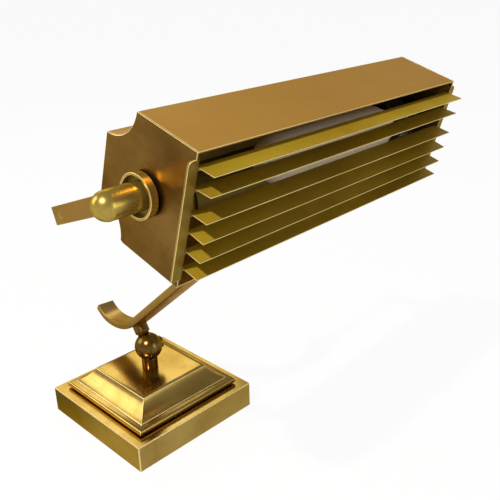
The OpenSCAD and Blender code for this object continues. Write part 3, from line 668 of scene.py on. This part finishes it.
def barTree(s):
    tree, given = newShapeTree("bentBar", {k: v for k, v in s.items() if k[0].isupper()})
    path = addNode(tree, "GeometryNodeMeshToCurve", {"Mesh": given["Geometry"]}).outputs["Curve"]
    section = addNode(tree, "GeometryNodeCurvePrimitiveQuadrilateral", {"Width": given["Bar width"],
                                                                        "Height": given["Bar thickness"]})
    rounded = addNode(tree, "GeometryNodeFilletCurve", {
        "Curve": section.outputs["Curve"], "Radius": given["Edge radius"],
        "Count": given["Edge steps"]}, mode="POLY").outputs["Curve"]
    swept = addNode(tree, "GeometryNodeCurveToMesh", {"Curve": path, "Profile Curve": rounded,
                                                      "Fill Caps": True}).outputs["Mesh"]
    endShapeTree(tree, swept, [(given["Finish"], None)])
    return tree


def bendArm(s):
    line = bpy.data.meshes.new("armLine")
    points = armPath(s)
    line.from_pydata([(0, u, z) for u, z in points], [(i, i + 1) for i in range(len(points) - 1)], [])
    arm = grow("bent_arm", barTree(s), s, line)
    place = frameAt("arm_tilt")
    place.translation = (0, 0, 0)
    arm.data.transform(place)
    edit = bmesh.new()
    edit.from_mesh(arm.data)
    intoMesh(edit, arm.data, turnOutwards=True)
    rubEdges(arm, s["rubbed"], smooth=meshSet["smoothBar"])
    return seat(arm, "arm_bar")


bendArm(armSet)
print("arm bent")


# Turned pieces: a profile of (distance along +X, radius), spun round X
def turnProfile(profile, sides):
    edit = bmesh.new()
    rings = []
    for along, radius in profile:
        turns = [2 * math.pi * i / sides for i in range(sides if radius > 0 else 1)]
        rings.append([edit.verts.new((along, radius * math.cos(t), radius * math.sin(t))) for t in turns])
    joinRings(edit, rings)
    return intoMesh(edit, bpy.data.meshes.new("turned"), turnOutwards=True)


def turnPiece(name, profile, finish, place, node, sides=72, smooth=meshSet["smooth"]):
    mesh = turnProfile(profile, sides)
    mesh.transform(place)
    mesh.materials.append(finish)
    smoothByAngle(mesh, smooth)
    return seat(addObject(name, mesh), node)


def quarter(steps):
    turns = (math.radians(90 * i / steps) for i in range(steps + 1))
    return [(1 - math.cos(t), math.sin(t)) for t in turns]


# Bulb, cap and lampholder, measured from the shade's pivot along its length
bulbSet = {
    "axis": (-6.0 * mm, 0.5 * mm),  # behind and above the pivot, in the shade's own directions
    "tip": -42.3 * mm, "tipSteps": 15, "radius": 16 * mm, "end": 85.7 * mm, "wall": 0.7 * mm,
    # the shoulder's points, as (distance before the end, drop below the radius) in mm
    "shoulder": ((8, 0), (7, 0.3), (6, 1.1), (5.2, 2.2), (4.6, 3), (0, 3)),
}
capSet = {
    "start": bulbSet["end"], "end": 102.4 * mm, "radius": 13 * mm, "thread": 0.5 * mm, "turns": 3,
    "steps": 40, "threadFrom": 0.12, "threadLength": 0.8, "face": 0.7,  # shares of the length and radius
    "contact": 0.3 * mm, "smooth": 50,
}
holderSet = {
    "start": 90.7 * mm, "step": 110.2 * mm, "end": 116.7 * mm, "radius": 16.5 * mm, "neck": 13.25 * mm,
    "bore": 13 * mm, "boreEnd": 102.7 * mm, "mouthEdge": 0.6 * mm, "stepEdge": 0.8 * mm,
    "endEdge": 0.5 * mm, "grooves": 4, "grooveTop": 0.5 * mm, "grooveFloor": 0.3 * mm,
    "grooveDepth": 0.5 * mm,
}
bulbFrame = shadeFrame @ Matrix.Translation((0, *bulbSet["axis"]))


def bulbProfile(s):
    outer = [(s["tip"] + s["radius"] * along, s["radius"] * out) for along, out in quarter(s["tipSteps"])]
    outer += [(s["end"] - back * mm, s["radius"] - drop * mm) for back, drop in s["shoulder"]]
    inner = [(min(x + s["wall"], s["end"]), max(r - s["wall"], 0)) for x, r in outer]
    return outer + inner[::-1]


def capProfile(s):
    length = s["end"] - s["start"]
    points = [(s["start"], 0), (s["start"], s["radius"])]
    for i in range(s["steps"] + 1):
        share = i / s["steps"]
        wave = s["thread"] * (math.cos(2 * math.pi * s["turns"] * share) - 1) / 2
        along = s["start"] + length * (s["threadFrom"] + s["threadLength"] * share)
        points.append((along, s["radius"] + wave))
    return points + [(s["end"], s["radius"] * s["face"]), (s["end"] + s["contact"], 0)]


def holderProfile(s):
    points = [(s["boreEnd"], 0), (s["boreEnd"], s["bore"]), (s["start"], s["bore"]),
              (s["start"], s["radius"] - s["mouthEdge"]), (s["start"] + s["mouthEdge"], s["radius"])]
    pitch = (s["step"] - s["start"]) / (s["grooves"] + 1)
    for i in range(s["grooves"]):
        middle = s["start"] + (i + 1) * pitch
        floor = s["radius"] - s["grooveDepth"]
        points += [(middle - s["grooveTop"], s["radius"]), (middle - s["grooveFloor"], floor),
                   (middle + s["grooveFloor"], floor), (middle + s["grooveTop"], s["radius"])]
    points += [(s["step"] - s["stepEdge"], s["radius"]), (s["step"], s["radius"] - s["stepEdge"]),
               (s["step"], s["neck"]), (s["end"] - s["endEdge"], s["neck"]),
               (s["end"], s["neck"] - s["endEdge"]), (s["end"], 0)]
    return points


turnPiece("frosted_bulb", bulbProfile(bulbSet), bulbFrosted, bulbFrame, "bulb_glass", sides=96)
turnPiece("threaded_cap", capProfile(capSet), capMetal, bulbFrame, "bulb_cap", smooth=capSet["smooth"])
turnPiece("ribbed_holder", holderProfile(holderSet), blackPlastic, bulbFrame, "lampholder")
print("bulb, cap and holder turned")


# Screws: one turned head, set along a line by Geometry Nodes
rowSet = {"Count": 2, "Start": (0.0, 0.0, 0.0), "Step": (0.0, 0.0, 0.0), "Turn": (0.0, 0.0, 0.0),
          "Finish": zincSteel}
headSet = {"domeSteps": 9, "sides": 40, "slotLength": 3, "slotWidth": 0.28}  # the slot in head radii
bracketScrewSet = {"axis": 1, "outward": 1, "head": 2.75 * mm, "height": 1.8 * mm, "shank": 1.5 * mm,
                   "length": 2.8 * mm, "turn": (0.0, 0.0, -math.pi / 2)}
coverScrewSet = {"axis": 2, "outward": -1, "head": 2.95 * mm, "height": 1.2 * mm, "shank": 1.5 * mm,
                 "length": 10.8 * mm, "turn": (0.0, -math.pi / 2, 0.0)}


def rowTree(s):
    tree, given = newShapeTree("pieceRow", s)
    line = addNode(tree, "GeometryNodeMeshLine", {"Count": given["Count"], "Start Location": given["Start"],
                                                  "Offset": given["Step"]}).outputs["Mesh"]
    placed = addNode(tree, "GeometryNodeInstanceOnPoints", {
        "Points": line, "Instance": given["Geometry"], "Rotation": given["Turn"]}).outputs["Instances"]
    endShapeTree(tree, placed, [(given["Finish"], None)])
    return tree


pieceRow = rowTree(rowSet)


def headProfile(s):
    dome = [((along - 1) * s["height"], s["head"] * out) for along, out in quarter(headSet["domeSteps"])]
    return dome + [(0, s["shank"]), (s["length"], s["shank"]), (s["length"], 0)]


def slottedHead(s):
    screw = addObject("screwBlank", turnProfile(headProfile(s), headSet["sides"]))
    blade = bmesh.new()
    size = (s["height"], headSet["slotLength"] * s["head"], headSet["slotWidth"] * s["head"])
    bmesh.ops.create_cube(blade, size=1)
    bmesh.ops.scale(blade, verts=blade.verts, vec=size)
    bmesh.ops.translate(blade, verts=blade.verts, vec=(-s["height"], 0, 0))
    cutter = addObject("slotBlade", intoMesh(blade, bpy.data.meshes.new("blade")))
    cut = screw.modifiers.new("slot", "BOOLEAN")
    cut.operation = "DIFFERENCE"
    cut.object = cutter
    made = bakeModifiers(screw)
    bpy.data.objects.remove(cutter)
    bpy.data.objects.remove(screw)
    return made


# The lowest and highest corner of each separate solid of a node, in the place's own directions
def solidBoxes(node, place):
    back = place.inverted()
    edit = mergedCopy(frame["nodes"][node].data)
    left, boxes = set(edit.verts), []
    while left:
        grown, edge = [], [left.pop()]
        while edge:
            vert = edge.pop()
            grown.append(back @ vert.co)
            near = {v for e in vert.link_edges for v in e.verts if v in left}
            edge += near
            left -= near
        boxes.append([Vector([pick(co[k] for co in grown) for k in range(3)]) for pick in (min, max)])
    edit.free()
    return sorted(boxes, key=lambda pair: [round(c, 4) for c in pair[0]])


def setHeads(node, place, s):
    boxes = solidBoxes(node, place)
    starts = [(low + high) / 2 for low, high in boxes]
    for start, (low, high) in zip(starts, boxes):
        k = s["axis"]
        start[k] = high[k] - s["height"] if s["outward"] > 0 else low[k] + s["height"]
    pair = dict(rowSet, Start=tuple(starts[0]), Step=tuple(starts[1] - starts[0]), Turn=s["turn"])
    row = grow(node + "_row", pieceRow, pair, slottedHead(s))
    if len(starts) == 4:  # two rows of two
        across = dict(rowSet, Step=tuple(starts[2] - starts[0]))
        rows = grow(node + "_rows", pieceRow, across, row.data.copy())
        bpy.data.objects.remove(row)
        row = rows
    row.data.transform(place)
    return seat(row, node)


setHeads("bracket_screws", shadeFrame, bracketScrewSet)
setHeads("cover_screws", Matrix.Identity(4), coverScrewSet)
print("screws set")


# Thumb screw on the hub: a knurled head on a thin shank
thumbSet = {"head": 5.5 * mm, "height": 5.0 * mm, "tooth": 0.35 * mm, "teeth": 30, "toothSteps": (0, 0, 1, 1),
            "endSunk": 2.2, "shank": 2.0 * mm, "shankSides": 32, "from": 3.3 * mm, "seat": 11.0 * mm,
            "pad": 0.5 * mm}  # endSunk: how many teeth deep the head's ends are drawn in


def knurlScrew(s):
    low, high = s["seat"], s["seat"] + s["height"]
    shank = ((s["from"], 0), (s["from"], s["shank"]), (low + s["pad"], s["shank"]), (low + s["pad"], 0))
    edit = bmesh.new()
    edit.from_mesh(turnProfile(shank, s["shankSides"]))
    count = len(s["toothSteps"]) * s["teeth"]
    rings = []
    for along, sunk in ((low, s["endSunk"]), (low + s["pad"], 0), (high - s["pad"], 0), (high, s["endSunk"])):
        ring = []
        for i in range(count):
            turn = 2 * math.pi * i / count
            radius = s["head"] - s["tooth"] * (sunk + s["toothSteps"][i % len(s["toothSteps"])])
            ring.append(edit.verts.new((along, radius * math.cos(turn), radius * math.sin(turn))))
        rings.append(ring)
    joinRings(edit, rings)
    for ring in (rings[0], rings[-1]):
        edit.faces.new(ring)
    mesh = intoMesh(edit, bpy.data.meshes.new("thumb"), turnOutwards=True)
    mesh.transform(frameAt("yoke_tilt") @ Matrix.Rotation(math.pi / 2, 4, "Z"))
    mesh.materials.append(brassOnKnobs)
    smoothByAngle(mesh)
    return seat(addObject("knurled_screw", mesh), "hub_screw")


knurlScrew(thumbSet)
print("thumb screw knurled")


# Light: place, aim, size, power and colour of each lamp
lightSet = {
    "key": ((-1.082, -0.455, 1.568), (-0.127, -0.2, 0.31), (0.06, 0.06), 30, (1, 0.96, 0.88)),
    "window": ((-0.9, 1.15, 0.95), (0, 0, 0.1), (0.9, 0.9), 7.5, (1, 0.97, 0.92)),
    "back": ((0.6, 1.2, 1.0), (0, 0, 0.2), (1.0, 0.5), 3, (1, 0.98, 0.95)),
    "front": ((0.5, -1.6, 0.5), (0, 0, 0.2), (0.6, 0.8), 3, (1, 1, 1)),
}


def addArea(name, place, aim, size, power, colour):
    data = bpy.data.lights.new(name, "AREA")
    data.shape = "RECTANGLE"
    data.size, data.size_y = size
    data.energy = power
    data.color = colour
    lamp = bpy.data.objects.new(name, data)
    lamp.location = place
    lamp.rotation_euler = (Vector(aim) - Vector(place)).to_track_quat("-Z", "Y").to_euler()
    bpy.context.scene.collection.objects.link(lamp)


for name, values in lightSet.items():
    addArea(name, *values)

# The room: grey from the horizon (0) up to overhead (1)
worldSet = {"stops": ((0.0, 0.7), (0.12, 0.6), (0.45, 0.38), (1.0, 0.3)), "strength": 1.0}


def makeWorld(s):
    world = bpy.data.worlds.new("studio")
    bpy.context.scene.world = world
    world.use_nodes = True
    tree = world.node_tree
    tree.nodes.clear()
    output = addNode(tree, "ShaderNodeOutputWorld")
    direction = addNode(tree, "ShaderNodeTexCoord").outputs["Generated"]
    height = addNode(tree, "ShaderNodeSeparateXYZ", {"Vector": direction}).outputs["Z"]
    shades = addNode(tree, "ShaderNodeValToRGB", {"Fac": height})
    bar = shades.color_ramp
    while len(bar.elements) < len(s["stops"]):
        bar.elements.new(0.5)
    for element, (place, grey) in zip(bar.elements, s["stops"]):
        element.position = place
        element.color = (grey, grey, grey, 1)
    sky = addNode(tree, "ShaderNodeBackground", {"Color": shades.outputs["Color"],
                                                 "Strength": s["strength"]})
    tree.links.new(sky.outputs["Background"], output.inputs["Surface"])


# Floor: white to the camera; in metal's reflections it is dimmer, a painted dark reflection that is strongest
# beside the slab's left end.
# "aside" (Y less X) and "away" (distance from the middle) are the stretches over which that fades in and out
floorSet = {"radius": 14.0, "sides": 96, "colour": (0.86, 0.86, 0.86, 1), "rough": 0.9, "whiteShare": 0.93,
            "mirrorDim": 0.27, "dimmest": 0.5, "aside": (0.07, 0.17), "away": (0.14, 0.28)}


def makeFloor(s):
    edit = bmesh.new()
    bmesh.ops.create_circle(edit, cap_ends=True, segments=s["sides"], radius=s["radius"])
    mesh = intoMesh(edit, bpy.data.meshes.new("floor"))
    floor = addObject("floor", mesh)
    material, tree, shader = newMaterial("paleFloor")
    shader.inputs["Base Color"].default_value = s["colour"]
    shader.inputs["Roughness"].default_value = s["rough"]
    rays = addNode(tree, "ShaderNodeLightPath")
    seen = maths(tree, "MAXIMUM", rays.outputs["Is Camera Ray"], rays.outputs["Is Glossy Ray"])
    seen = maths(tree, "MAXIMUM", seen, rays.outputs["Is Transmission Ray"])
    share = maths(tree, "MULTIPLY", seen, s["whiteShare"])
    point = objectPoint(tree)
    place = addNode(tree, "ShaderNodeSeparateXYZ", {"Vector": point})
    aside = maths(tree, "SUBTRACT", place.outputs["Y"], place.outputs["X"])
    away = addNode(tree, "ShaderNodeVectorMath", {"Vector": point}, operation="LENGTH").outputs["Value"]
    # the painted dark reflection, strongest beside the slab's left end and near the middle
    dark = maths(tree, "MULTIPLY", spread(tree, aside, 0, s["dimmest"], *s["aside"]),
                 spread(tree, away, 1, 0, *s["away"]))
    mirrored = maths(tree, "MULTIPLY", rays.outputs["Is Glossy Ray"],
                     maths(tree, "ADD", dark, s["mirrorDim"]))
    bright = maths(tree, "SUBTRACT", 1.0, mirrored)
    white = addNode(tree, "ShaderNodeEmission", {"Color": (1, 1, 1, 1), "Strength": bright})
    both = addNode(tree, "ShaderNodeMixShader", {0: share, 1: shader.outputs["BSDF"],
                                                 2: white.outputs["Emission"]})
    output = next(n for n in tree.nodes if n.bl_idname == "ShaderNodeOutputMaterial")
    tree.links.new(both.outputs["Shader"], output.inputs["Surface"])
    mesh.materials.append(material)


makeWorld(worldSet)
makeFloor(floorSet)
bpy.context.scene.view_settings.view_transform = "Standard"
print("studio made")
